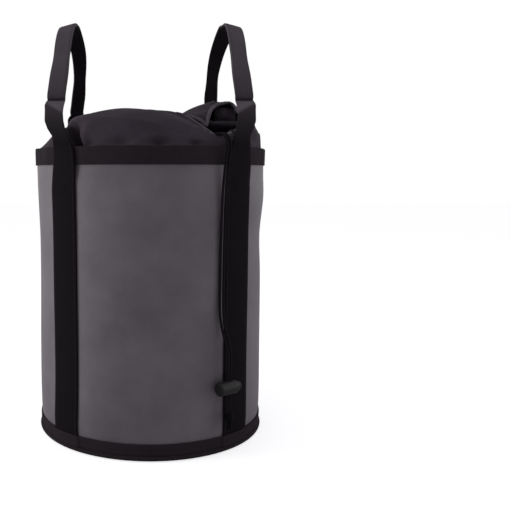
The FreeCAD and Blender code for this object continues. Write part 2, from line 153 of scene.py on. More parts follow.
def editWhole(piece, operator, **settings):
    grab(piece)
    bpy.ops.object.mode_set(mode='EDIT')
    bpy.ops.mesh.select_all(action='SELECT')
    operator(**settings)
    bpy.ops.object.mode_set(mode='OBJECT')


def mergeDoubles(piece, within=0.00001):
    editWhole(piece, bpy.ops.mesh.remove_doubles, threshold=within)


def faceOut(piece):
    editWhole(piece, bpy.ops.mesh.normals_make_consistent, inside=False)


def shade(piece, angle):
    grab(piece)
    bpy.ops.object.shade_smooth_by_angle(angle=radians(angle))


def thicken(sheet, thickness, offset=-1.0, angle=50):
    # inwards, or to both sides where offset is 0
    faceOut(sheet)
    solid = sheet.modifiers.new("Solidify", 'SOLIDIFY')
    solid.thickness = thickness
    solid.offset = offset
    bpy.ops.object.modifier_apply(modifier=solid.name)
    shade(sheet, angle)


def closeTube(tube, angle=80):
    # a tube whose two ends meet becomes one closed skin
    mergeDoubles(tube)
    faceOut(tube)
    shade(tube, angle)


def finishPiece(piece, body, material, slot, *nodes):
    piece.data.materials.clear()
    piece.data.materials.append(material)
    if body:
        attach(piece, body)
    if nodes:
        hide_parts(*nodes)
    return piece


studio = {
    "cameraPlace": (0.0, -0.849, 0.308),
    "tiltDown": 5.79,
    "lens": 48.92,
    "shift": (0.2053, -0.0235),
    "roomColor": (0.97, 0.96, 1.0, 1),
    "roomStrength": 0.42,
    # soft boxes: place, what they face, size, power, tint
    "lamps": {
        "leftSoftbox": ((-1.5, -0.12, 0.42), (0, 0, 0.2), (0.9, 1.3), 14.0, (1, 0.98, 0.97)),
        "rightSoftbox": ((1.5, -0.1, 0.5), (0, 0, 0.2), (0.7, 1.2), 5.0, (0.97, 0.97, 1)),
        "topSoftbox": ((0.1, -0.35, 1.5), (0, 0, 0.35), (1.2, 1.0), 0.6, (1, 1, 1)),
    },
    "floorSize": 9,
    "floorMiddle": (0, 1.5, 0),
    "floorColor": (0.86, 0.86, 0.87, 1),
    "floorGlow": 0.64,    # for the camera alone, low enough to leave the bag's shadow
}


def feed(tree, socket, value):
    # a plain value, or another node's output
    if isinstance(value, bpy.types.NodeSocket):
        tree.links.new(value, socket)
    else:
        socket.default_value = value


def addNode(tree, kind, inputs=(), **settings):
    # inputs by name or number
    node = tree.nodes.new("ShaderNode" + kind)
    for key, value in settings.items():
        setattr(node, key, value)
    for key, value in dict(inputs).items():
        feed(tree, node.inputs[key], value)
    return node


def mixByRay(tree, factor, otherwise, chosen, out):
    # one shader for the chosen rays, and another for the rest
    mix = addNode(tree, "MixShader", {"Fac": factor, 1: otherwise.outputs[0], 2: chosen.outputs[0]})
    feed(tree, out.inputs["Surface"], mix.outputs[0])


def makeCamera():
    lens = bpy.data.cameras.new("bagCamera")
    lens.lens = studio["lens"]
    lens.shift_x, lens.shift_y = studio["shift"]
    camera = addObject("bagCamera", lens)
    camera.location = studio["cameraPlace"]
    camera.rotation_euler = (radians(90 - studio["tiltDown"]), 0, 0)
    bpy.context.scene.camera = camera


def makeRoom():
    # white where it is seen, in gloss too, and otherwise a plain soft light
    world = bpy.data.worlds.new("paleRoom")
    bpy.context.scene.world = world
    world.use_nodes = True
    tree = world.node_tree
    tree.nodes.clear()
    out = addNode(tree, "OutputWorld")
    seen = addNode(tree, "Background", {"Color": (1, 1, 1, 1)})
    room = addNode(tree, "Background", {"Color": studio["roomColor"], "Strength": studio["roomStrength"]})
    path = addNode(tree, "LightPath")
    whiteTo = path.outputs["Is Camera Ray"]
    for ray in ("Is Glossy Ray", "Is Transmission Ray"):
        either = addNode(tree, "Math", {0: whiteTo, 1: path.outputs[ray]}, operation='ADD', use_clamp=True)
        whiteTo = either.outputs[0]
    mixByRay(tree, whiteTo, room, seen, out)


def makeLamps():
    for name, (place, aim, size, power, tint) in studio["lamps"].items():
        light = bpy.data.lights.new(name, 'AREA')
        light.shape = 'RECTANGLE'
        light.size, light.size_y = size
        light.energy = power
        light.color = tint
        lamp = addObject(name, light)
        lamp.location = place
        lamp.rotation_euler = (Vector(aim) - Vector(place)).to_track_quat('-Z', 'Y').to_euler()


def makeFloor():
    bpy.ops.mesh.primitive_plane_add(size=studio["floorSize"], location=studio["floorMiddle"])
    floor = takeNew("paleFloor")
    bpy.ops.object.transform_apply()
    skin = bpy.data.materials.new("paleFloor")
    skin.use_nodes = True
    tree = skin.node_tree
    tree.nodes.clear()
    out = addNode(tree, "OutputMaterial")
    matt = addNode(tree, "BsdfDiffuse", {"Color": studio["floorColor"]})
    glow = addNode(tree, "Emission", {"Color": (1, 1, 1, 1), "Strength": studio["floorGlow"]})
    both = addNode(tree, "AddShader", {0: matt.outputs[0], 1: glow.outputs[0]})
    mixByRay(tree, addNode(tree, "LightPath").outputs["Is Camera Ray"], matt, both, out)
    floor.data.materials.append(skin)


bpy.context.scene.view_settings.view_transform = 'Standard'
makeCamera()
makeRoom()
makeLamps()
makeFloor()
print("studio ready")


def srgb(r, g, b):
    # a colour as a screen shows it, 0 to 255
    def line(c):
        c = c / 255
        return c / 12.92 if c <= 0.04045 else ((c + 0.055) / 1.055) ** 2.4
    return (line(r), line(g), line(b), 1)


class Nodes:
    # a little pencil for node trees
    def __init__(self, name):
        self.material = bpy.data.materials.new(name)
        self.material.use_nodes = True
        self.tree = self.material.node_tree
        self.shader = self.tree.nodes["Principled BSDF"]

    def add(self, kind, inputs=(), **settings):
        return addNode(self.tree, kind, inputs, **settings)

    def math(self, operation, a, b=None, clamp=False):
        inputs = {0: a} if b is None else {0: a, 1: b}
        return self.add("Math", inputs, operation=operation, use_clamp=clamp).outputs[0]

    def plus(self, a, b):
        return self.math('ADD', a, b)

    def minus(self, a, b, clamp=False):
        return self.math('SUBTRACT', a, b, clamp)

    def times(self, a, b, clamp=False):
        return self.math('MULTIPLY', a, b, clamp)

    def over(self, a, b, clamp=False):
        return self.math('DIVIDE', a, b, clamp)

    def absolute(self, a):
        return self.math('ABSOLUTE', a)

    def ridge(self, cycles):
        # one rounded ridge to each whole number
        return self.absolute(self.math('SINE', self.times(cycles, pi)))

    def coordinates(self, kind="Object"):
        return self.add("TexCoord").outputs[kind]

    def split(self, vector):
        parts = self.add("SeparateXYZ", {0: vector})
        return parts.outputs["X"], parts.outputs["Y"]

    def noise(self, vector, scale, detail=3.0, rough=0.5):
        inputs = {"Vector": vector, "Scale": scale, "Detail": detail, "Roughness": rough}
        return self.add("TexNoise", inputs).outputs["Fac"]

    def stretch(self, vector, scale):
        return self.add("Mapping", {"Vector": vector, "Scale": scale}).outputs["Vector"]

    def ramp(self, value, low, high, lowColor, highColor):
        node = self.add("ValToRGB", {"Fac": value})
        for stop, place, color in zip(node.color_ramp.elements, (low, high), (lowColor, highColor)):
            stop.position = place
            stop.color = srgb(*color)
        return node.outputs["Color"]

    def tint(self, factor, under, over):
        # lays one colour over another by a factor
        node = self.add("Mix", {"Factor": factor}, data_type='RGBA')
        bottom, top = [s for s in node.inputs if s.type == 'RGBA']
        feed(self.tree, bottom, under)
        feed(self.tree, top, srgb(*over))
        return [s for s in node.outputs if s.type == 'RGBA'][0]

    def relief(self, height, distance, strength, normal=None):
        inputs = {"Height": height, "Distance": distance, "Strength": strength}
        if normal is not None:
            inputs["Normal"] = normal
        return self.add("Bump", inputs).outputs["Normal"]

    def weave(self, vector, across, along):
        # threads over and under, one cell to a crossing, in the units of the vector
        x, y = self.split(vector)
        u = self.over(x, across)
        v = self.over(y, along)
        cell = self.plus(self.math('FLOOR', u), self.math('FLOOR', v))
        odd = self.math('MODULO', self.absolute(cell), 2.0)
        warp = self.times(self.ridge(u), odd)
        weft = self.times(self.ridge(v), self.minus(1.0, odd))
        return self.plus(warp, weft)

    def finish(self, roughness, color, normal, gloss=0.5, metallic=0.0):
        inputs = {"Roughness": roughness, "Base Color": color, "Normal": normal,
                  "Specular IOR Level": gloss, "Metallic": metallic}
        for name, value in inputs.items():
            feed(self.tree, self.shader.inputs[name], value)
        return self.material


vinylLook = {
    "dark": (82, 75, 82),
    "light": (103, 97, 103),
    "scrim": (66, 60, 66),
    "scrimStep": 0.0011,
    "roughness": 0.44,
    "roughnessVaries": 0.12,
    "gloss": 0.45,
}


def vinylFinish():
    n = Nodes("greyVinyl")
    spot = n.coordinates()
    scrim = n.weave(n.coordinates("UV"), vinylLook["scrimStep"], vinylLook["scrimStep"])
    cloud = n.noise(spot, scale=15, detail=5, rough=0.6)
    fine = n.noise(spot, scale=420, detail=2)
    color = n.ramp(cloud, 0.3, 0.72, vinylLook["dark"], vinylLook["light"])
    color = n.tint(n.times(scrim, 0.10), color, vinylLook["scrim"])
    normal = n.relief(scrim, 0.00007, 0.55)
    normal = n.relief(fine, 0.00005, 0.4, normal)
    rough = n.plus(n.times(cloud, vinylLook["roughnessVaries"]), vinylLook["roughness"])
    return n.finish(rough, color, normal, gloss=vinylLook["gloss"])


webbingLooks = {
    "strapWebbing": {
        "dark": (15, 12, 15),
        "light": (30, 26, 30),
        "threads": (0.0013, 0.0018),     # width of a crossing, across and along
        "stitchRows": (0.003, 0.037),    # rows of thread, by their place across
        "stitchLong": 0.0034,
        # the strap webbing carries the handles' painted highlight and painted shade
        "paintsHandleLight": True,
    },
    "bindingTape": {
        "dark": (31, 27, 31),
        "light": (54, 48, 53),
        "threads": (0.0011, 0.0014),
        "stitchRows": (0.0035,),
        "stitchLong": 0.0038,
        "paintsHandleLight": False,
    },
}

# painted highlight on the outer side of the handles, by the way along the webbing from the crease
handleLightPaint = {
    "pale": (90, 84, 90),
    "start": -0.048,
    "full": 0.027,
    "least": 0.6,
    "patchy": 0.5,
    "outerSide": 0.07,       # the UV map's outer side lies below this
    # painted highlight on the fold under the crease, taller at its inner edge
    "foldPale": (128, 120, 128),
    "fold": 0.55,
    "foldTall": 0.015,
    "foldSlant": 0.27,
    "foldTopSoft": 0.0010,
    "foldFootSoft": 0.0040,
    # painted shade darkening the groove of the crease
    "grooveShade": 0.5,
    "grooveMiddle": 0.0012,
    "grooveHalf": 0.0022,
}


# paints light and shade on the handles: a highlight on the outer side and on the fold under the crease, and
# shade in the crease's groove
def paintHandleLight(n, color, patch, across, along, dark):
    # painted highlight on the outer side, growing along the webbing towards the crease
    outer = n.math('LESS_THAN', across, handleLightPaint["outerSide"])
    way = n.over(n.minus(along, handleLightPaint["start"]), handleLightPaint["full"] - handleLightPaint["start"], clamp=True)
    patchy = n.plus(n.times(patch, handleLightPaint["patchy"]), handleLightPaint["least"])
    color = n.tint(n.times(way, n.times(outer, patchy), clamp=True), color, handleLightPaint["pale"])
    # painted highlight on the fold under the crease
    below = n.over(n.times(along, -1.0), handleLightPaint["foldTopSoft"], clamp=True)
    tall = n.minus(handleLightPaint["foldTall"], n.times(across, handleLightPaint["foldSlant"]))
    above = n.over(n.plus(along, tall), handleLightPaint["foldFootSoft"], clamp=True)
    fold = n.times(n.times(below, above), n.times(outer, handleLightPaint["fold"]))
    color = n.tint(fold, color, handleLightPaint["foldPale"])
    # painted shade in the crease's groove
    off = n.over(n.absolute(n.minus(along, handleLightPaint["grooveMiddle"])), handleLightPaint["grooveHalf"], clamp=True)
    grooveShade = n.times(n.minus(1.0, off), n.times(outer, handleLightPaint["grooveShade"]))
    return n.tint(grooveShade, color, dark)


def stitches(n, across, along, rows, stitchLong):
    ridge = 0.0
    for row in rows:
        off = n.absolute(n.minus(across, row))
        near = n.minus(1.0, n.over(off, 0.00045), clamp=True)
        ridge = n.math('MAXIMUM', ridge, near)
    step = n.math('FRACT', n.over(along, stitchLong))
    dash = n.math('LESS_THAN', n.absolute(n.minus(step, 0.5)), 0.36)
    return n.times(ridge, dash)


def webbingFinish(name):
    look = webbingLooks[name]
    n = Nodes(name)
    lay = n.coordinates("UV")
    spot = n.coordinates()
    threads = n.weave(lay, *look["threads"])
    fuzz = n.noise(spot, scale=900, detail=2)
    patch = n.noise(spot, scale=26, detail=3)
    color = n.ramp(threads, 0.15, 0.95, look["dark"], look["light"])
    color = n.tint(n.times(patch, 0.35), color, look["dark"])
    across, along = n.split(lay)
    # painted highlight and painted shade of the handles
    if look["paintsHandleLight"]:
        color = paintHandleLight(n, color, patch, across, along, look["dark"])
    thread = stitches(n, across, along, look["stitchRows"], look["stitchLong"])
    height = n.plus(n.plus(threads, n.times(fuzz, 0.35)), n.times(thread, 2.0))
    color = n.tint(thread, color, (52, 49, 52))
    return n.finish(0.85, color, n.relief(height, 0.00022, 0.8), gloss=0.03)


clothLooks = {
    "collarCloth": {"dark": (52, 46, 53), "light": (68, 61, 69)},
    # the hem's cloth is the collar cloth painted lighter: a painted highlight where the channel's edges catch
    # the light
    "hemClothPaintedLight": {"dark": (74, 69, 75), "light": (118, 111, 119)},
}


def collarFinish(name):
    look = clothLooks[name]
    n = Nodes(name)
    spot = n.coordinates()
    threads = n.weave(n.coordinates("UV"), 0.0006, 0.0006)
    cloud = n.noise(spot, scale=18, detail=4, rough=0.6)
    crease = n.noise(spot, scale=60, detail=5, rough=0.65)
    color = n.ramp(cloud, 0.3, 0.7, look["dark"], look["light"])
    color = n.tint(n.times(threads, 0.2), color, look["light"])
    normal = n.relief(crease, 0.0009, 0.35)
    normal = n.relief(threads, 0.00008, 0.6, normal)
    return n.finish(0.82, color, normal, gloss=0.05)


def cordFinish():
    n = Nodes("braidedCord")
    length, girth = n.split(n.coordinates("UV"))
    along = n.times(length, 260)
    around = n.times(girth, 8)
    braid = n.math('MAXIMUM', n.ridge(n.plus(along, around)), n.ridge(n.minus(along, around)))
    color = n.ramp(braid, 0.3, 1.0, (12, 10, 13), (31, 27, 32))
    return n.finish(0.8, color, n.relief(braid, 0.0003, 0.8), gloss=0.05)


def threadFinish():
    n = Nodes("blackThread")
    fuzz = n.noise(n.coordinates(), scale=1500, detail=2)
    color = n.ramp(fuzz, 0.3, 0.7, (12, 10, 12), (26, 24, 26))
    return n.finish(0.8, color, n.relief(fuzz, 0.0001, 0.6), gloss=0.05)


def plasticFinish():
    n = Nodes("blackNylonMoulding")
    spot = n.coordinates()
    grain = n.noise(spot, scale=1600, detail=2)
    wear = n.noise(spot, scale=60, detail=4)
    color = n.ramp(wear, 0.35, 0.75, (15, 14, 16), (24, 23, 25))
    rough = n.plus(n.times(wear, 0.2), 0.42)
    return n.finish(rough, color, n.relief(grain, 0.00006, 0.6), gloss=0.22)


def wireFinish():
    n = Nodes("springWire")
    drawn = n.noise(n.stretch(n.coordinates(), (40, 40, 900)), scale=6, detail=3)
    color = n.ramp(drawn, 0.2, 0.8, (150, 150, 152), (205, 205, 207))
    return n.finish(0.28, color, n.relief(drawn, 0.00003, 0.5), metallic=1.0)


def boardFinish():
    n = Nodes("stiffenerBoard")
    grain = n.noise(n.stretch(n.coordinates(), (1, 8, 1)), scale=80, detail=3)
    color = n.ramp(grain, 0.3, 0.7, (36, 36, 38), (48, 48, 50))
    return n.finish(0.5, color, n.relief(grain, 0.0001, 0.5))


def linerFinish():
    n = Nodes("baseLiner")
    spot = n.coordinates()
    threads = n.weave(spot, 0.0012, 0.0012)
    cloud = n.noise(spot, scale=12, detail=3)
    color = n.ramp(cloud, 0.3, 0.7, (28, 26, 29), (38, 36, 39))
    return n.finish(0.55, color, n.relief(threads, 0.0001, 0.7), gloss=0.4)


vinyl = vinylFinish()
strapWebbing = webbingFinish("strapWebbing")
bindingTape = webbingFinish("bindingTape")
collarCloth = collarFinish("collarCloth")
# lighter copy of the collar cloth, a painted highlight on the hem
hemClothPaintedLight = collarFinish("hemClothPaintedLight")
braidedCord = cordFinish()
blackThread = threadFinish()
nylonMoulding = plasticFinish()
springWire = wireFinish()
stiffenerBoard = boardFinish()
baseLiner = linerFinish()

# CAD nodes that stay as they are, with their finish and slot
dressed = {
    "base_panel": (baseLiner, "base_cloth"),
    "base_liner": (baseLiner, "base_cloth"),
    "base_stiffener": (stiffenerBoard, "stiffener_sheet"),
    "back_seam_tape": (baseLiner, "webbing"),
    "rope_tie_loop": (baseLiner, "webbing"),
    "cord_lock_barrel": (nylonMoulding, "lock_plastic"),
    "cord_lock_plunger": (nylonMoulding, "lock_plastic"),
    "bar_tacks": (blackThread, "thread"),
    "cord_knot": (braidedCord, "cord"),
}

for nodeName, (material, slot) in dressed.items():
    finishPiece(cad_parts[nodeName], None, material, slot)
print("finishes ready")


# the lock's spring, which shortens under the button; here it is a fixed copy of its CAD node
spring = {
    "node": "cord_lock_spring",
    "pressed": 0.40,    # of its free length
}


def makeSpring():
    coil = addObject("lockSpring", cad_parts[spring["node"]].data.copy())
    mergeDoubles(coil, within=0.000001)
    shade(coil, 40)
    finishPiece(coil, "cord_lock", springWire, "spring_wire", spring["node"])
    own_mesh(coil)
    print("lock spring ready")
    return coil


# the drawcord's two tails
cords = {
    "diameter": 0.003,
    "lockAzimuth": 36.5,
    "lockOrbit": 0.1442,
    "spacing": 0.0034,
    "plumb": (0.118, 0.100),    # heights between which the tails turn plumb, above the lock's travel
    "knotZ": 0.0475,
    "lengthLeft": 0.3183,
    "lengthRight": 0.3164,
    # azimuth, radius and height of each point, from the hem over the rim and down the wall
    "routeLeft": [(34.2, 0.1228, 0.3485), (34.2, 0.1324, 0.3502), (34.2, 0.1412, 0.3456),
                  (34.2, 0.1444, 0.3360), (33.8, 0.1426, 0.3210), (33.4, 0.1398, 0.2970),
                  (33.3, 0.1380, 0.2620), (33.2, 0.1372, 0.2240), (33.0, 0.1370, 0.1860),
                  (32.8, 0.1378, 0.1470)],
    "routeRight": [(35.7, 0.1254, 0.3485), (35.7, 0.1340, 0.3502), (35.7, 0.1422, 0.3452),
                   (35.7, 0.1450, 0.3350), (35.4, 0.1428, 0.3190), (35.1, 0.1398, 0.2940),
                   (35.0, 0.1382, 0.2580), (35.0, 0.1376, 0.2200), (34.9, 0.1374, 0.1830),
                   (34.6, 0.1388, 0.1460)],
}


def makeTail(name, route, side, node):
    # side is -1 for the left one of the two and 1 for the right one
    half = degrees(cords["spacing"] / 2 / cords["lockOrbit"])
    end = polar(cords["lockAzimuth"] + side * half, cords["lockOrbit"], cords["knotZ"])
    points = [polar(*p) for p in route]
    points += [Vector((end.x, end.y, z)) for z in cords["plumb"]]
    points.append(end)
    curve = bpy.data.curves.new(name, 'CURVE')
    curve.dimensions = '3D'
    curve.bevel_depth = cords["diameter"] / 2
    curve.bevel_resolution = 4
    curve.use_fill_caps = True
    spline = curve.splines.new('NURBS')
    spline.points.add(len(points) - 1)
    for spot, p in zip(spline.points, points):
        spot.co = (p.x, p.y, p.z, 1)
    spline.order_u = 3
    spline.use_endpoint_u = True
    return finishPiece(addObject(name, curve), "root", braidedCord, "cord", node)


lockPieces = [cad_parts[n] for n in ("cord_lock_barrel", "cord_lock_plunger", "cord_knot")]
lockPieces.append(makeSpring())
tailLeft = makeTail("drawcordTailLeft", cords["routeLeft"], -1, "drawcord_tail_left")
tailRight = makeTail("drawcordTailRight", cords["routeRight"], 1, "drawcord_tail_right")
polar(*cords["routeLeft"][0])
polar(*cords["routeRight"][0])
print("drawcord tails ready")


# one sheet of coated cloth, closed at the back
wall = {
    "radius": 0.1344,
    "footRadius": 0.1330,
    "rimRadius": 0.1362,
    "footHeight": 0.030,
    "flareStart": 0.240,
    "height": 0.336,
    "bottom": 0.0003,
    "top": 0.3345,
    "thickness": 0.001,
    "around": 300,
    "rows": 90,
    # held flat at the bindings: start of the free part, its end, and the way between
    "heldFlat": (0.012, 0.325, 0.05),
    "ripple": 0.0007,
    # soft hollows and swells: azimuth, its width, height, its width, depth outwards
    "dents": [(90, 26, 0.232, 0.030, -0.0018), (90, 28, 0.285, 0.028, 0.0018),
              (68, 12, 0.170, 0.090, -0.0012), (0, 30, 0.18, 0.10, 0.0008),
              (-22, 9, 0.22, 0.12, -0.0009), (24, 7, 0.20, 0.14, -0.0012),
              (-90, 24, 0.22, 0.06, -0.0010), (150, 24, 0.20, 0.10, -0.0014),
              (-150, 24, 0.16, 0.10, 0.0012), (180, 14, 0.25, 0.10, 0.0009)],
}


def wallRadius(z):
    if z < wall["footHeight"]:
        return wall["footRadius"] + (wall["radius"] - wall["footRadius"]) * z / wall["footHeight"]
    if z > wall["flareStart"]:
        share = (z - wall["flareStart"]) / (wall["height"] - wall["flareStart"])
        return wall["radius"] + (wall["rimRadius"] - wall["radius"]) * share
    return wall["radius"]


def wallSwell(azimuth, z):
    low, high, way = wall["heldFlat"]
    free = smooth((z - low) / way) * smooth((high - z) / way)
    total = wall["ripple"] * softNoise(radians(azimuth) * 2.1, z * 9.0, 4.2)
    for place, wide, height, tall, depth in wall["dents"]:
        total += depth * bump(turnDistance(azimuth, place), 0, wide) * bump(z, height, tall)
    return free * total


def makeWall():
    tube = openTube("bagWall", wall["around"], wall["rows"])
    girth = 2 * pi * wall["radius"]

    def place(turn, share):
        z = wall["bottom"] + (wall["top"] - wall["bottom"]) * share
        azimuth = turn * 360
        return polar(azimuth, wallRadius(z) + wallSwell(azimuth, z), z)

    wrapTube(tube, place, lambda turn, share: (turn * girth, share * wall["top"]))
    thicken(tube, wall["thickness"])
    finishPiece(tube, "root", vinyl, "panel_vinyl", "body_panel")
    print("wall ready")


makeWall()


# shared by the bindings and the straps
strapWidth = 0.040
strapThickness = 0.0018
tapeThickness = 0.0014
tapeGap = 0.0001    # between layers that are sewn on each other

# tape folded over the wall's edge
rim = {
    "depth": 0.0195,
    "crown": 0.0022,      # the rounded part over the edge
    "inFold": 0.0040,     # where the fold's inside rounds
    "steps": 15,
    "around": 360,
    "rows": 64,
    "unevenOut": 0.00035,
    "unevenUp": 0.0005,
    # standing waves in the tape: azimuth, width, depth outwards
    "ripples": [(-74, 4.0, 0.0007), (-63, 2.5, -0.0005), (-56, 2.0, 0.0008), (-30, 3.0, 0.0006),
                (13, 1.1, 0.0006), (16, 1.1, 0.0006), (70, 3.0, 0.0006), (150, 4, 0.0006),
                (-120, 3, 0.0006)],
}


def rimOutline():
    # section of the folded tape, as (out, down): up outside, over the edge, down inside, back at the wall
    depth, crown, steps = rim["depth"], rim["crown"], rim["steps"]
    wide = wall["thickness"] + 2 * tapeGap
    over = wide / 2 + tapeThickness
    outer = tapeGap + tapeThickness
    inner = tapeGap - wide - tapeThickness
    outline = [(outer, depth + (crown - depth) * i / steps) for i in range(steps + 1)]
    for i in range(1, steps + 1):
        a = pi * i / (steps + 1)
        outline.append((outer - over * (1 - cos(a)), crown * (1 - sin(a))))
    outline += [(inner, crown + (depth - crown) * i / steps) for i in range(steps + 1)]
    outline += [(tapeGap - wide, depth), (tapeGap - wide, rim["inFold"]), (tapeGap - wide / 2, crown)]
    outline += [(tapeGap, rim["inFold"]), (tapeGap, depth)]
    return outline


def makeRimBinding():
    tube = openTube("rimBinding", rim["around"], rim["rows"])
    outline = rimOutline()
    ends = outline[1:] + outline[:1]
    lengths = [0.0]
    for a, b in zip(outline, ends):
        lengths.append(lengths[-1] + hypot(a[0] - b[0], a[1] - b[1]))

    def along(share):
        want = min(share, 0.999999999999) * lengths[-1]
        i = max(k for k in range(len(outline)) if lengths[k] <= want)
        f = (want - lengths[i]) / (lengths[i + 1] - lengths[i])
        return [a + (b - a) * f for a, b in zip(outline[i], ends[i])]

    def place(turn, share):
        azimuth = turn * 360
        a = radians(azimuth)
        out, down = along(share)
        z = wall["height"] - down
        r = wallRadius(z) + out
        if out > 0:
            r += sum(depth * bump(turnDistance(azimuth, at), 0, wide) for at, wide, depth in rim["ripples"])
        r += rim["unevenOut"] * softNoise(a * 9, down * 40, 1.0) * (1 if out > 0 else 0.3)
        z += rim["unevenUp"] * softNoise(a * 6, 3.0, 1.0) * smooth(1 - down / 0.006)
        return polar(azimuth, r, z)

    wrapTube(tube, place, lambda turn, share: (rim["depth"] - share * lengths[-1],
                                               turn * 2 * pi * wall["rimRadius"]))
    closeTube(tube, 60)
    finishPiece(tube, "root", bindingTape, "webbing", "rim_binding")
    print("rim binding ready")


makeRimBinding()


# band round the foot, which steps out over the ends of the straps
foot = {
    "bandLow": 0.006,
    "bandTop": 0.019,
    "bandAround": 480,
    "bandRows": 12,
    "bandWall": 0.0012,
    "edgeSoft": (0.0003, 0.0015),    # how far the band's edges draw in, and over what height
    "uneven": 0.00025,
    "strapAzimuths": (45, 135, 225, 315),
    "strapReach": 0.0016,            # beside a strap, where the step starts
    "stepTurn": 0.9,
}


def overStrap(azimuth):
    # 1 over the ends of the straps, 0 between them
    off = min(abs(turnDistance(azimuth, a)) for a in foot["strapAzimuths"])
    reach = degrees((strapWidth / 2 + foot["strapReach"]) / wall["radius"])
    return smooth((reach - off) / foot["stepTurn"] + 0.5)


def makeBaseBand():
    tube = openTube("baseBinding", foot["bandAround"], foot["bandRows"])
    low = foot["bandLow"]
    tall = foot["bandTop"] - low
    drawIn, softEdge = foot["edgeSoft"]

    def place(turn, share):
        azimuth = turn * 360
        z = low + tall * share
        out = tapeGap + tapeThickness + overStrap(azimuth) * (strapThickness + tapeGap)
        out -= drawIn * (1 - smooth(min(share, 1 - share) * tall / softEdge))
        out += foot["uneven"] * softNoise(radians(azimuth) * 8, z * 60, 2.0)
        return polar(azimuth, wallRadius(z) + out, z)

    wrapTube(tube, place, lambda turn, share: (tall * share, turn * 2 * pi * wall["radius"]))
    thicken(tube, foot["bandWall"])
    finishPiece(tube, "root", bindingTape, "webbing", "base_binding")


# piping where the base is sewn in
welt = {
    "radius": 0.1336,
    "thickness": 0.0028,
    "z": 0.0031,
}


def makeWelt():
    bpy.ops.mesh.primitive_torus_add(major_radius=welt["radius"], minor_radius=welt["thickness"],
                                     major_segments=260, minor_segments=14, location=(0, 0, welt["z"]))
    piping = takeNew("baseWelt")
    bpy.ops.object.transform_apply()
    uv = piping.data.uv_layers.active.data
    for loop in piping.data.loops:
        co = piping.data.vertices[loop.vertex_index].co
        side = atan2(co.z - welt["z"], hypot(co.x, co.y) - welt["radius"])
        uv[loop.index].uv = (0.008 + side * welt["thickness"], atan2(co.x, -co.y) * 0.134)
    bpy.ops.object.shade_smooth()
    finishPiece(piping, "root", bindingTape, "webbing", "base_welt")


makeBaseBand()
makeWelt()
print("base band ready")


# straps that become the handles; a span is the height where a change starts, and the way it takes
webbing = {
    "gripWidth": 0.020,
    "gripThickness": 0.0044,
    "rimWidth": 0.0325,
    "footZ": 0.008,
    "looseZ": 0.290,       # where the webbing leaves the wall
    "legX": 0.102035,
    "legY": 0.103035,
    "pivotZ": 0.360,
    "legRise": 0.019,
    "overTape": 0.0020,
    "footShiftSpan": (0.022, 0.05),
    "rimShiftSpan": (0.292, 0.030),
    "liftSpan": (0.294, 0.024),
    "thickenSpan": (0.318, 0.03),
    "turnSpan": (0.333, 0.027),
    # how far the front legs stand outwards from the hinge line, by height
    "sway": [(0.330, -0.0050), (0.342, -0.0050), (0.360, 0.0), (0.378, -0.0006), (0.394, -0.0030),
             (0.426, -0.0064), (0.457, -0.0072), (0.486, -0.0068)],
    # and the back legs from the front ones
    "backSwayRight": [(0.340, 0.0), (0.350, -0.002), (0.388, -0.0162), (0.425, -0.0138), (0.455, -0.0100),
                      (0.476, -0.0045), (0.4845, 0.0)],
    "backSwayLeft": [(0.390, 0.0), (0.430, -0.0017), (0.460, -0.0030), (0.4845, 0.0)],
    # further turn of the back legs about their own line, in degrees
    "backTurn": [(0.360, 0), (0.388, 26), (0.430, 23), (0.460, 11), (0.4790, 0)],
    # shift of the strap towards the front, at the rim and down the wall
    "shiftRight": (0.0006, 0.0),
    "shiftLeft": (0.0072, 0.0018),
    # the handle is folded over at the crease, and turns a little about its own line
    "creaseZ": 0.3845,
    "creaseDepth": 0.0040,
    "creaseSwell": 0.0030,
    "creaseTwist": 14.0,
    "gripTwist": 30.0,
    "gripTwistSpan": (0.405, 0.03),
    "topRoll": 14.0,
    "topRollSpan": (0.43, 0.05),
    "archDrop": 0.0030,
    "around": 28,
    "corner": 3.2,         # the section's squareness: 2 is an ellipse
}


def byHeight(rows, z):
    # smooth run through (height, value) pairs
    z = min(max(z, rows[0][0]), rows[-1][0])
    i = max(k for k in range(len(rows) - 1) if rows[k][0] <= z)
    (za, a), (zb, b), (zc, c), (zd, d) = (rows[min(len(rows) - 1, max(0, k))] for k in range(i - 1, i + 3))
    gap = zc - zb
    return ease(b, c, (c - a) / (zc - za) * gap, (d - b) / (zd - zb) * gap, (z - zb) / gap)


# the front right strap's own directions: away from the bag's axis, and along the wall
strapOut = Vector((sqrt(0.5), -sqrt(0.5), 0))
strapSide = Vector((sqrt(0.5), sqrt(0.5), 0))


def strapRows(lowShift):
    # sewn on the wall
    rows = []
    for i in range(47):
        z = webbing["footZ"] + (webbing["looseZ"] - webbing["footZ"]) * i / 46
        middle = strapOut * (wallRadius(z) + wallSwell(45, z) + tapeGap + strapThickness / 2)
        middle -= strapSide * (lowShift * grow(z, webbing["footShiftSpan"]))
        middle.z = z
        rows.append((middle, strapSide, strapOut, strapWidth, strapThickness, 1.0))
    return rows


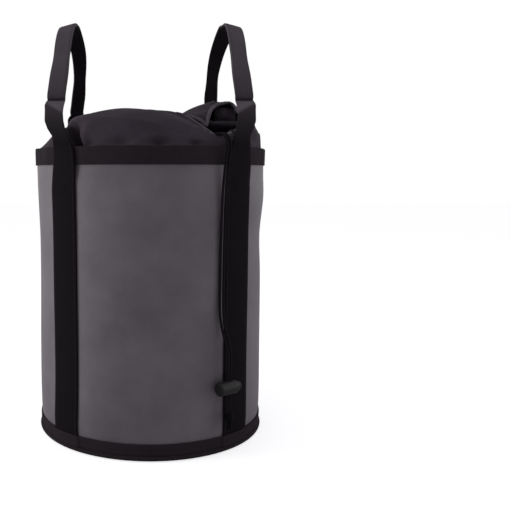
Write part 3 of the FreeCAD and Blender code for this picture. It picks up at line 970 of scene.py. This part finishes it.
def foldingRows(rimShift, lowShift):
    # off the wall and over the binding, folding to the grip's width
    rows = []
    widths = [(0.292, strapWidth), (0.334, webbing["rimWidth"]), (0.346, webbing["gripWidth"] - 0.001),
              (0.360, webbing["gripWidth"])]
    for i in range(1, 27):
        z = webbing["looseZ"] + (webbing["pivotZ"] - webbing["looseZ"]) * i / 26
        r = wallRadius(min(z, wall["height"])) + tapeGap + strapThickness / 2
        r += grow(z, webbing["liftSpan"]) * webbing["overTape"]
        shift = lowShift + (rimShift - lowShift) * grow(z, webbing["rimShiftSpan"])
        onWall = strapOut * r - strapSide * shift
        leg = Vector((webbing["legX"] + byHeight(webbing["sway"], z), -webbing["legY"], 0))
        go = grow(z, webbing["turnSpan"])
        middle = onWall.lerp(leg, go)
        middle.z = z
        outwards = strapOut.lerp(Vector((0, -1, 0)), go).normalized()
        across = strapSide.lerp(Vector((1, 0, 0)), go).normalized()
        thick = strapThickness + (webbing["gripThickness"] - strapThickness) * grow(z, webbing["thickenSpan"])
        rows.append((middle, across, outwards, byHeight(widths, z), thick, 1.0 - go))
    return rows


def archRows():
    # the leg and half of the arch, leaning inwards and turning a little about its own line
    rise, legY = webbing["legRise"], webbing["legY"]
    arch = [(-legY, webbing["pivotZ"] + rise * i / 16, 0.0) for i in range(1, 17)]
    for angle in [0.5 * k for k in range(1, 25)] + [12 + 1.2 * k for k in range(1, 66)]:
        a = radians(angle)
        up = (legY - webbing["archDrop"]) * sin(a)
        arch.append((-legY * cos(a), webbing["pivotZ"] + rise + up, a))
    rows = []
    for y, z, a in arch:
        turned = webbing["creaseTwist"] * bump(z, webbing["creaseZ"] + 0.012, 0.030)
        turned += webbing["gripTwist"] * grow(z, webbing["gripTwistSpan"])
        turned = radians(turned) * cos(a)
        roll = radians(webbing["topRoll"]) * grow(z, webbing["topRollSpan"])
        across = Vector((cos(turned), sin(turned), -sin(roll))).normalized()
        outwards = Vector((0, -cos(a), sin(a)))
        outwards = (outwards - across * outwards.dot(across)).normalized()
        middle = Vector((webbing["legX"] + byHeight(webbing["sway"], z), y, z))
        pinch = webbing["creaseDepth"] * bump(z, webbing["creaseZ"], 0.0028)
        rows.append((middle, across, outwards, webbing["gripWidth"] - pinch * 0.25,
                     webbing["gripThickness"] - pinch * 0.3, 0.0))
    return rows


def creaseOffset(z, u):
    # a valley across the grip, and under it a swell that slants down towards the bag's middle
    valley = webbing["creaseDepth"] * bump(z, webbing["creaseZ"], 0.0030)
    ridge = webbing["creaseZ"] - 0.0085 + 0.0045 * u
    return webbing["creaseSwell"] * bump(z, ridge, 0.0055) - valley


def backRows(half, backSway):
    # the front half again at the back, with its own lean and turn
    rows = []
    for middle, across, outwards, wide, thick, curve in reversed(half[:-1]):
        lean = byHeight(backSway, middle.z)
        turn = Matrix.Rotation(radians(-byHeight(webbing["backTurn"], middle.z)), 3, 'Z')
        across = turn @ Vector((across.x, -across.y, across.z))
        outwards = Vector((outwards.x, -outwards.y, outwards.z))
        outwards = (outwards - across * outwards.dot(across)).normalized()
        rows.append((Vector((middle.x + lean, -middle.y, middle.z)), across, outwards, wide, thick, curve))
    return rows


def gripSection(turn):
    # flat rounded outline, -1 to 1 across and outwards
    c, s = cos(turn * 2 * pi), sin(turn * 2 * pi)
    power = 1 / webbing["corner"]
    return copysign(abs(c) ** power, c), copysign(abs(s) ** power, s)


def makeHandle(name, side, shifts, backSway, body, *nodes):
    # each row: middle, across, outwards, width, thickness, and how far it still follows the wall's curve
    half = strapRows(shifts[1]) + foldingRows(*shifts) + archRows()
    rows = half + backRows(half, backSway)
    run = [0.0]
    for a, b in zip(rows, rows[1:]):
        run.append(run[-1] + (a[0] - b[0]).length)
    crease = min(range(len(half)), key=lambda i: abs(half[i][0].z - webbing["creaseZ"]))
    last = len(rows) - 1
    tube = openTube(name, webbing["around"], last)

    def place(turn, share):
        middle, across, outwards, wide, thick, curve = rows[round(share * last)]
        u, w = gripSection(turn)
        s = u * wide / 2
        drop = 0.0
        if curve > 0:
            r = wall["radius"] / curve
            drop = r * (1 - cos(s / r))
        p = middle + across * s + outwards * (w * thick / 2 - drop + creaseOffset(middle.z, u))
        return Vector((side * p.x, p.y, p.z))

    def lay(turn, share):
        # outer side first, and the inner side beside it
        i = round(share * last)
        u, w = gripSection(turn % 1.0)
        inner = 0.1 if w < 0 else 0.0
        return inner + (1 + u) * strapWidth / 2, min(run[i], run[-1] - run[i]) - run[crease]

    wrapTube(tube, place, lay)
    grab(tube)
    editEdges()
    bpy.ops.mesh.select_non_manifold()
    bpy.ops.mesh.fill()
    bpy.ops.object.mode_set(mode='OBJECT')
    faceOut(tube)
    shade(tube, 55)
    finishPiece(tube, None, strapWebbing, "webbing", *nodes)
    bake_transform(tube)


makeHandle("webbingRight", 1, webbing["shiftRight"], webbing["backSwayRight"], "handle_right",
           "strap_front_right", "strap_back_right", "handle_right")
makeHandle("webbingLeft", -1, webbing["shiftLeft"], webbing["backSwayLeft"], "handle_left",
           "strap_front_left", "strap_back_left", "handle_left")
print("webbing ready")


# cloth from inside the rim up to its gathered mouth
collar = {
    "around": 480,
    "rows": 78,
    "skirtRows": 6,
    "skirtDepth": 0.024,
    "skirtRadius": 0.1328,
    "thickness": 0.0009,
    # shares of the level way from rim to mouth, and by azimuth the rise over the rim at each, in mm
    "levels": (0.09, 0.18, 0.25, 0.5, 0.86),
    "rises": {-168: (25, 39, 43, 46, 43), -140: (33, 42, 44, 44, 40), -110: (16, 35, 42, 45, 44),
              -85: (11, 23, 38, 44, 45), -60: (19, 30, 37, 45, 42), -38: (16, 27, 34, 43, 36),
              -12: (14, 23, 28, 36, 29), 12: (9, 14, 18, 23, 19), 35: (5, 7, 9, 10, 10),
              60: (9, 15, 18, 21, 24), 88: (18, 22, 25, 33, 38), 115: (20, 31, 36, 44, 49),
              142: (21, 36, 42, 52, 57), 166: (20, 36, 43, 55, 59), 179: (22, 37, 42, 46, 47)},
    # the mouth's line by azimuth, in mm
    "mouth": {35: (72, -102, 346.5), 12: (62, -76, 354.5), -18: (54, -50, 363), -60: (46, -25, 371),
              -95: (40, -8, 376), -118: (50, -14, 374), -136: (60, -23, 368.5), -152: (65, -26, 363),
              -166: (69, -16, 374), 178: (73, -4, 383), 162: (80, 7, 389.5), 138: (97, 11, 392.5),
              114: (107, 3, 382), 90: (112, -28, 371), 64: (104, -64, 360), 48: (88, -90, 351)},
    # pleats: azimuth at the rim, width in degrees, depth, first and last share, drift in degrees per share
    "pleats": [(-34.0, 8.0, 0.011, 0.00, 0.32, -75), (-14, 5.0, 0.0055, 0.00, 0.08, 0),
               (3, 5.0, 0.0060, 0.00, 0.08, 0), (20, 3.5, 0.0045, 0.00, 0.10, 0),
               (62, 5, 0.004, 0.1, 0.8, 0), (84, 5, 0.004, 0.2, 0.9, 12),
               (112, 6, 0.005, 0.1, 0.9, 20), (150, 7, 0.005, 0.15, 0.8, 10),
               (-150, 7, 0.005, 0.1, 0.6, 0), (-112, 6, 0.004, 0.1, 0.6, -10)],
    # the deep tuck beside the left strap: steep sides, and a floor
    "tuck": {"azimuth": -41.0, "halfWidth": 5.6, "depth": 0.052, "drift": -73, "last": 0.34},
    # the cut: round the rim and from rim to mouth with the part sewn down, narrower at the mouth
    "cut": (0.834, 0.160),
    "cutArea": 0.096,
    "softWaves": 0.0026,
    # small gathers near the mouth, deeper about one azimuth at the front
    "gather": 0.0007,
    "frontGather": 0.0014,
    "frontAzimuth": 34,
}


def aroundTable(table, azimuth):
    # smooth closed run through a table of equal tuples, by azimuth
    keys = sorted(table, key=lambda k: k % 360)
    n = len(keys)
    i = max((k for k in range(n) if keys[k] % 360 <= azimuth % 360), default=n - 1)
    around = [keys[(i + k) % n] for k in (-1, 0, 1, 2)]
    gaps = [(b - a) % 360 for a, b in zip(around, around[1:])]
    t = ((azimuth - around[1]) % 360) / gaps[1]
    out = []
    for a, b, c, d in zip(*(table[k] for k in around)):
        slopeStart = (c - a) * gaps[1] / (gaps[0] + gaps[1])
        slopeEnd = (d - b) * gaps[1] / (gaps[1] + gaps[2])
        out.append(ease(b, c, slopeStart, slopeEnd, t))
    return out


def alongRun(values, share):
    # smooth open run through evenly spaced values
    run = [2 * values[0] - values[1]] + list(values) + [2 * values[-1] - values[-2]]
    spot = share * (len(values) - 1)
    i = min(int(spot), len(values) - 2)
    a, b, c, d = run[i:i + 4]
    return ease(b, c, (c - a) / 2, (d - b) / 2, spot - i)


def mouthPoint(azimuth):
    return Vector(aroundTable(collar["mouth"], azimuth)) * 0.001


def mouthAhead(azimuth):
    return (mouthPoint(azimuth + 0.6) - mouthPoint(azimuth - 0.6)).normalized()


def collarLine(azimuth, shares):
    # one line of the cloth, from the rim to the mouth; shares below 0 are sewn down inside the rim
    low = polar(azimuth, collar["skirtRadius"], wall["height"])
    end = mouthPoint(azimuth)
    ways = (0.0,) + collar["levels"] + (1.0,)
    heights = [0.0] + [r * 0.001 for r in aroundTable(collar["rises"], azimuth)] + [end.z - low.z]
    points = []
    for share in shares:
        if share < 0:
            points.append(low + Vector((0, 0, share * collar["skirtDepth"])))
            continue
        p = low.lerp(end, alongRun(ways, share))
        p.z = low.z + alongRun(heights, share)
        points.append(p)
    return points


def collarFold(azimuth, share):
    # how far the cloth stands out of its plain form
    if share <= 0:
        return 0.0
    total = 0.0
    for place, wide, depth, first, last, drift in collar["pleats"]:
        window = smooth((share - first + 0.02) / 0.08) * smooth((last + 0.08 - share) / 0.12)
        total -= depth * bump(turnDistance(azimuth, place + drift * share), 0, wide) * window
    tuck = collar["tuck"]
    off = turnDistance(azimuth, tuck["azimuth"] + tuck["drift"] * share) / tuck["halfWidth"]
    window = smooth(share / 0.03) * smooth((tuck["last"] + 0.08 - share) / 0.16)
    total -= tuck["depth"] * exp(-off ** 4) * window
    a = radians(azimuth)
    near = smooth((share - 0.55) / 0.45)
    front = bump(turnDistance(azimuth, collar["frontAzimuth"]), 0, 34)
    size = collar["gather"] + collar["frontGather"] * front
    total += near * size * sin(38 * a + 2.2 * sin(3 * a))
    total += near * size * 0.6 * sin(61 * a + 1.0)
    soft = softNoise(a * 2.6, share * 3.2, 7.0)
    return total + collar["softWaves"] * soft * smooth(share / 0.15) * (1 - 0.6 * near)


def collarShares():
    # -1 to 0 down the skirt inside the rim, then 0 to 1 up to the mouth
    skirt = collar["skirtRows"]
    free = collar["rows"] - skirt
    return [k / skirt for k in range(-skirt, 0)] + [k / free for k in range(free + 1)]


def collarGrid(shares):
    around = collar["around"]
    plain = [collarLine(360 * i / around, shares) for i in range(around)]
    grid = []
    for i in range(around):
        left, right = plain[i - 1], plain[(i + 1) % around]
        line = []
        for k, p in enumerate(plain[i]):
            fold = collarFold(360 * i / around, shares[k])
            if fold:
                up = plain[i][min(k + 1, len(shares) - 1)] - plain[i][k - 1]
                normal = (right[k] - left[k]).cross(up)
                p = p + normal.normalized() * fold
            line.append(p)
        grid.append(line)
    return grid


def makeCollar():
    around, rows = collar["around"], collar["rows"]
    wide, deep = collar["cut"]
    tube = openTube("collarCloth", around, rows)
    shares = collarShares()
    grid = collarGrid(shares)
    wrapTube(tube, lambda turn, row: grid[round(turn * around) % around][round(row * rows)],
             lambda turn, row: (turn * wide, shares[round(row * rows)] * deep))
    thicken(tube, collar["thickness"], angle=80)
    return finishPiece(tube, "root", collarCloth, "collar_cloth", "collar", "collar_skirt")


# channel round the mouth, with the drawcord's own round in it
hem = {
    "around": 360,
    "radius": 0.0020,
    "height": 1.15,        # the channel's height against its thickness
    "flapHeight": 1.6,     # more of it where it stands up as a flap
    "flapAzimuth": 134,
    "flapWidth": 22,
    "ruffle": 0.16,
    "ruffles": 96,
    "cordRadius": 0.0015,
    "length": 0.42,
}


def makeHem():
    tube = openTube("collarHem", hem["around"], 14)

    def place(turn, share):
        azimuth = turn * 360
        mid = mouthPoint(azimuth)
        ahead = mouthAhead(azimuth)
        inward = mid - collarLine(azimuth, [0.97])[0]
        inward = (inward - ahead * inward.dot(ahead)).normalized()
        side = ahead.cross(inward)
        a = share * 2 * pi
        r = hem["radius"] * (1 + hem["ruffle"] * sin(radians(azimuth) * hem["ruffles"]))
        tall = hem["height"]
        tall += hem["flapHeight"] * bump(turnDistance(azimuth, hem["flapAzimuth"]), 0, hem["flapWidth"])
        return mid + inward * (cos(a) * r * tall) + side * (sin(a) * r)

    wrapTube(tube, place, lambda turn, share: (turn * hem["length"], share * 0.02))
    closeTube(tube)
    return finishPiece(tube, "root", hemClothPaintedLight, "collar_cloth", "collar_hem")


def makeHemCord():
    tube = openTube("hemCord", hem["around"], 10)

    def place(turn, share):
        azimuth = turn * 360
        ahead = mouthAhead(azimuth)
        side = ahead.cross(Vector((0, 0, 1))).normalized()
        a = share * 2 * pi
        way = side * cos(a) + ahead.cross(side) * sin(a)
        return mouthPoint(azimuth) + way * hem["cordRadius"]

    wrapTube(tube, place, lambda turn, share: (turn * hem["length"], share))
    closeTube(tube)
    return finishPiece(tube, "root", braidedCord, "cord", "drawcord_loop")


# cloth folded over inside the mouth, below the flap, and the inner face behind it
innerFolds = {
    "innerFold": {
        "left": (0.066, -0.012, 0.3700),
        "right": (0.1125, -0.010, 0.3700),
        "sag": 0.001,
        # cross-section: away from the front, and up
        "section": [(0.024, -0.034), (0.014, -0.016), (0.006, -0.004), (0.0, 0.0), (-0.003, -0.0025),
                    (-0.0025, -0.006), (0.005, -0.011)],
    },
    "innerFace": {
        "left": (0.079, 0.009, 0.3870),
        "right": (0.104, 0.007, 0.3830),
        "sag": 0.0,
        "section": [(0.005, 0.002), (0.001, -0.002), (-0.002, -0.008), (-0.001, -0.014), (0.004, -0.020)],
    },
}


def makeInnerFold(name):
    # a sheet bent to a cross-section, between two points
    plan = innerFolds[name]
    bpy.ops.mesh.primitive_grid_add(x_subdivisions=48, y_subdivisions=36, size=2)
    fold = takeNew(name)
    left, right = Vector(plan["left"]), Vector(plan["right"])
    backs, ups = zip(*plan["section"])
    for v in fold.data.vertices:
        along, across = (v.co.x + 1) / 2, (v.co.y + 1) / 2
        p = left.lerp(right, along)
        middle = sin(pi * along)
        p.y += alongRun(backs, across) * (0.55 + 0.45 * middle)
        p.y += 0.0016 * sin(along * 9 + across * 3)
        p.z += alongRun(ups, across) - plan["sag"] * middle
        p.z += 0.0012 * softNoise(along * 4, across * 3, 2.0)
        v.co = p
    fold.data.update()
    thicken(fold, collar["thickness"], offset=0.0, angle=80)
    return finishPiece(fold, "root", collarCloth, "collar_cloth")


collarPiece = makeCollar()
makeHem()
makeHemCord()
for foldName in innerFolds:
    makeInnerFold(foldName)
print("collar ready")
